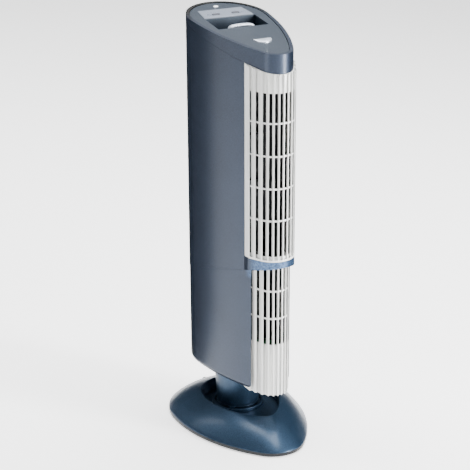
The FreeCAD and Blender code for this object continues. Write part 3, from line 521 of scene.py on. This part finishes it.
marks = {"ring": 3.4 * mm, "line": 0.5 * mm, "outside": 11.5 * mm, "step": 3.6 * mm, "above": 8.5 * mm,
         "back": 0.2 * mm, "stroke": 1.9 * mm, "strokeAt": 3.0 * mm, "hub": 2.2 * mm, "blade": 1.4 * mm,
         "bladeShape": (1.25, 0.9), "shortest": 1.2 * mm, "longerBy": 0.9 * mm, "sunk": 0.28 * mm,
         "film": 0.06 * mm}


def powerMark(x, y):
    outer = circlePoints(marks["ring"])
    inner = circlePoints(marks["ring"] - 2 * marks["line"])
    flatMark("power_mark_ring", outer, inner, (x, y))
    stroke = barPoints(marks["line"], marks["stroke"])
    flatMark("power_mark_stroke", stroke, None, (x, y + marks["strokeAt"]))


def fanMark(x, y):
    wide, deep = marks["bladeShape"]
    leaf = [(wide * px, deep * py) for px, py in circlePoints(marks["blade"], 16)]
    for blade in range(3):
        angle = 2 * math.pi * blade / 3 + math.pi / 2
        spot = (x + marks["hub"] * math.cos(angle), y + marks["hub"] * math.sin(angle))
        flatMark("fan_mark_blade_%d" % blade, leaf, None, spot)


def levelMarks(left, right, y):
    for level in range(3):
        reach = marks["shortest"] + marks["longerBy"] * level
        for side, middle in ((-1, left), (1, right)):
            spot = (middle + side * (level - 1) * marks["step"], y)
            flatMark("level_mark_%d_%d" % (side + 1, level), barPoints(marks["line"], reach / 2), None, spot)


def makeMarks():
    left = boxMiddle("power_button")[0]
    right = boxMiddle("mode_button")[0]
    y = left[1] + marks["back"]
    powerMark(left[0] - marks["outside"], y)
    fanMark(right[0] + marks["outside"], y)
    levelMarks(left[0], right[0], y + marks["above"])


# arched grip of the cartridge

grip = {"wide": 7.0 * mm, "thick": 4.6 * mm, "arch": 1.6 * mm, "squareness": 0.24, "section": 0.6,
        "sunk": 0.5 * mm, "steps": 60, "round": 18}


def signedPower(value, power):
    return math.copysign(abs(value) ** power, value)


def makeGrip():
    low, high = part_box("cartridge_handle")
    half = (high[0] - low[0]) / 2 - grip["thick"] / 2
    middleY = (low[1] + high[1]) / 2
    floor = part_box("cartridge_head")[1][2] - grip["sunk"]
    rise = high[2] - grip["thick"] / 2 - floor
    path = []
    for step in range(grip["steps"] + 1):
        angle = math.pi * step / grip["steps"]
        along = 0.0 if step * 2 == grip["steps"] else -signedPower(math.cos(angle), grip["squareness"])
        height = math.sin(angle) ** grip["squareness"]
        bow = grip["arch"] * (1 - along * along) * height
        path.append(Vector((half * along, middleY, floor + rise * height + bow)))
    points = []
    for index, spot in enumerate(path):
        before = path[max(index - 1, 0)]
        after = path[min(index + 1, len(path) - 1)]
        forward = (after - before).normalized()
        side = Vector((0, 1, 0))
        out = side.cross(forward).normalized()
        for turn in range(grip["round"]):
            angle = 2 * math.pi * turn / grip["round"]
            across = signedPower(math.cos(angle), grip["section"]) * grip["wide"] / 2
            up = signedPower(math.sin(angle), grip["section"]) * grip["thick"] / 2
            points.append(spot + side * across + out * up)
    faces = ringFaces(len(path), grip["round"])
    last = (len(path) - 1) * grip["round"]
    faces += [tuple(reversed(range(grip["round"]))), tuple(range(last, last + grip["round"]))]
    piece = addPiece("grip_bow", points, faces, "silver_plastic", "cartridge")
    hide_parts("cartridge_handle")


# return spring of the release button

spring = {"wire": 0.5 * mm, "turns": 5, "perTurn": 32, "round": 10, "travel": 3 * mm}


def makeSpring():
    # a coil with closed ends
    low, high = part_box("release_spring")
    wire = spring["wire"]
    reach = (high[0] - low[0]) / 2 - wire / 2
    centre = Vector(((low[0] + high[0]) / 2, (low[1] + high[1]) / 2, low[2] + wire / 2))
    tall = high[2] - low[2] - wire
    turns = spring["turns"]
    pitch = (tall - 2 * wire) / (turns - 2)
    rings = turns * spring["perTurn"] + 1
    points = []
    for step in range(rings):
        turn = step / spring["perTurn"]
        closed = min(turn, 1) + max(turn - turns + 1, 0)
        height = wire * closed + pitch * min(max(turn - 1, 0), turns - 2)
        angle = 2 * math.pi * turn
        out = Vector((math.cos(angle), math.sin(angle), 0))
        for around in range(spring["round"]):
            bend = 2 * math.pi * around / spring["round"]
            across = reach + wire / 2 * math.cos(bend)
            points.append(centre + out * across + Vector((0, 0, height + wire / 2 * math.sin(bend))))
    last = (rings - 1) * spring["round"]
    faces = ringFaces(rings, spring["round"])
    faces += [tuple(reversed(range(spring["round"]))), tuple(range(last, last + spring["round"]))]
    piece = addPiece("spring_coil", points, faces, "steel", "tower")
    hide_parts("release_spring")
    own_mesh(piece)


print("making caps, marks, grip and spring")
makeCaps()
makeMarks()
makeGrip()
makeSpring()


# studio

studio = {"floorColour": "#ffffff", "floorGlow": 1.15, "azimuth": -28.0, "elevation": 21.7, "distance": 2.485,
          "aim": (0.0, -0.0265, 0.2485), "lens": 115.3, "sensor": 36, "shift": (-0.0334, 0.1164), "far": 50,
          "floorSize": 14, "floorRoughness": 0.9, "lightAim": (0, 0, 0.35)}
lights = {
    "ceiling": {"at": (0.5, 0.4, 2.8), "size": (2.4, 2.4), "power": 210},
    "farCeiling": {"at": (-2.0, 3.4, 3.2), "size": (3.0, 3.0), "power": 190},
    "leftWall": {"at": (-1.9, -0.75, 0.7), "size": (0.7, 1.4), "power": 12},
    "strip": {"at": (1.25, -1.75, 0.85), "size": (0.4, 1.7), "power": 150},
}
flags = {"left": {"side": -1, "begin": 0.1}, "right": {"side": 1, "begin": -0.2}}
card = {"beside": 0.55, "inner": 0.2, "to": 2.4, "tall": 1.7, "above": 0.5 * mm, "colour": "#0a0a0b"}


def cameraTurn(azimuth, elevation):
    a = math.radians(azimuth)
    e = math.radians(elevation)
    back = Vector((math.sin(a) * math.cos(e), -math.cos(a) * math.cos(e), math.sin(e)))
    right = Vector((math.cos(a), math.sin(a), 0))
    up = back.cross(right)
    return Matrix((right, up, back)).transposed().to_4x4(), back


def makeCamera():
    data = bpy.data.cameras.new("camera")
    camera = bpy.data.objects.new("camera", data)
    bpy.context.scene.collection.objects.link(camera)
    turn, back = cameraTurn(studio["azimuth"], studio["elevation"])
    camera.matrix_world = Matrix.Translation(Vector(studio["aim"]) + back * studio["distance"]) @ turn
    data.lens = studio["lens"]
    data.sensor_width = studio["sensor"]
    data.shift_x, data.shift_y = studio["shift"]
    data.clip_end = studio["far"]
    bpy.context.scene.camera = camera


def makeFloor():
    bpy.ops.mesh.primitive_plane_add(size=studio["floorSize"], location=(0, 0, 0))
    floor = bpy.context.object
    floor.name = "floor"
    material, _, shader, _ = startMaterial("paperFloor", {"Roughness": studio["floorRoughness"]})
    # paper lit from below as well, as on a light table, so the ground stays white behind the dark shell
    shader.inputs["Base Color"].default_value = toLinear(studio["floorColour"])
    shader.inputs["Emission Color"].default_value = toLinear(studio["floorColour"])
    shader.inputs["Emission Strength"].default_value = studio["floorGlow"]
    floor.data.materials.append(material)


def areaLight(name, values):
    data = bpy.data.lights.new(name, "AREA")
    data.shape = "RECTANGLE"
    data.size, data.size_y = values["size"]
    data.energy = values["power"]
    light = bpy.data.objects.new(name, data)
    bpy.context.scene.collection.objects.link(light)
    light.location = values["at"]
    aim = Vector(studio["lightAim"]) - Vector(values["at"])
    light.rotation_euler = aim.to_track_quat("-Z", "Y").to_euler()


def addFlag(name, side, begin):
    # a dark card beside the set, with an apron on the floor: only the reflections see it, so the lacquer
    # rolls off to dark at its ends
    turn = math.radians(studio["azimuth"])
    right = Vector((math.cos(turn), math.sin(turn), 0)) * side
    away = Vector((-math.sin(turn), math.cos(turn), 0))
    start = Vector(studio["aim"]) * Vector((1, 1, 0)) + right * card["beside"] + away * begin
    end = start + away * (card["to"] - begin)
    up = Vector((0, 0, card["tall"]))
    apron = right * (card["inner"] - card["beside"]) + Vector((0, 0, card["above"]))
    corners = (start, end, end + up, start + up, end + apron, start + apron)
    mesh = bpy.data.meshes.new(name)
    mesh.from_pydata([tuple(point) for point in corners], [], [(0, 1, 2, 3), (0, 1, 4, 5)])
    flag = bpy.data.objects.new(name, mesh)
    bpy.context.scene.collection.objects.link(flag)
    material, _, shader, _ = startMaterial(name + "Felt", {"Roughness": 1.0, "Specular IOR Level": 0.0})
    shader.inputs["Base Color"].default_value = toLinear(card["colour"])
    mesh.materials.append(material)
    flag.visible_camera = False
    flag.visible_shadow = False
    flag.visible_diffuse = False


room = {"bright": (-0.3, -0.8, 0.52), "low": 0.04, "high": 0.36, "away": -0.45,
        "towards": 0.85, "colour": "#eef3f8"}


def makeRoom():
    # a pale room, brighter overhead and in front than behind
    world = bpy.data.worlds.new("room")
    world.use_nodes = True
    tree = world.node_tree
    direction = addNode(tree, "ShaderNodeTexCoord").outputs["Generated"]
    settings = {"operation": "DOT_PRODUCT", 1: room["bright"]}
    facing = addNode(tree, "ShaderNodeVectorMath", settings, {0: direction})
    glow = ramp(tree, facing.outputs["Value"], room["low"], room["high"], room["away"], room["towards"])
    background = tree.nodes["Background"]
    background.inputs["Color"].default_value = toLinear(room["colour"])
    tree.links.new(glow, background.inputs["Strength"])
    bpy.context.scene.world = world


makeCamera()
makeFloor()
for name, values in lights.items():
    areaLight(name, values)
makeRoom()
for name, values in flags.items():
    addFlag("flag_" + name, values["side"], values["begin"])
print("studio ready")
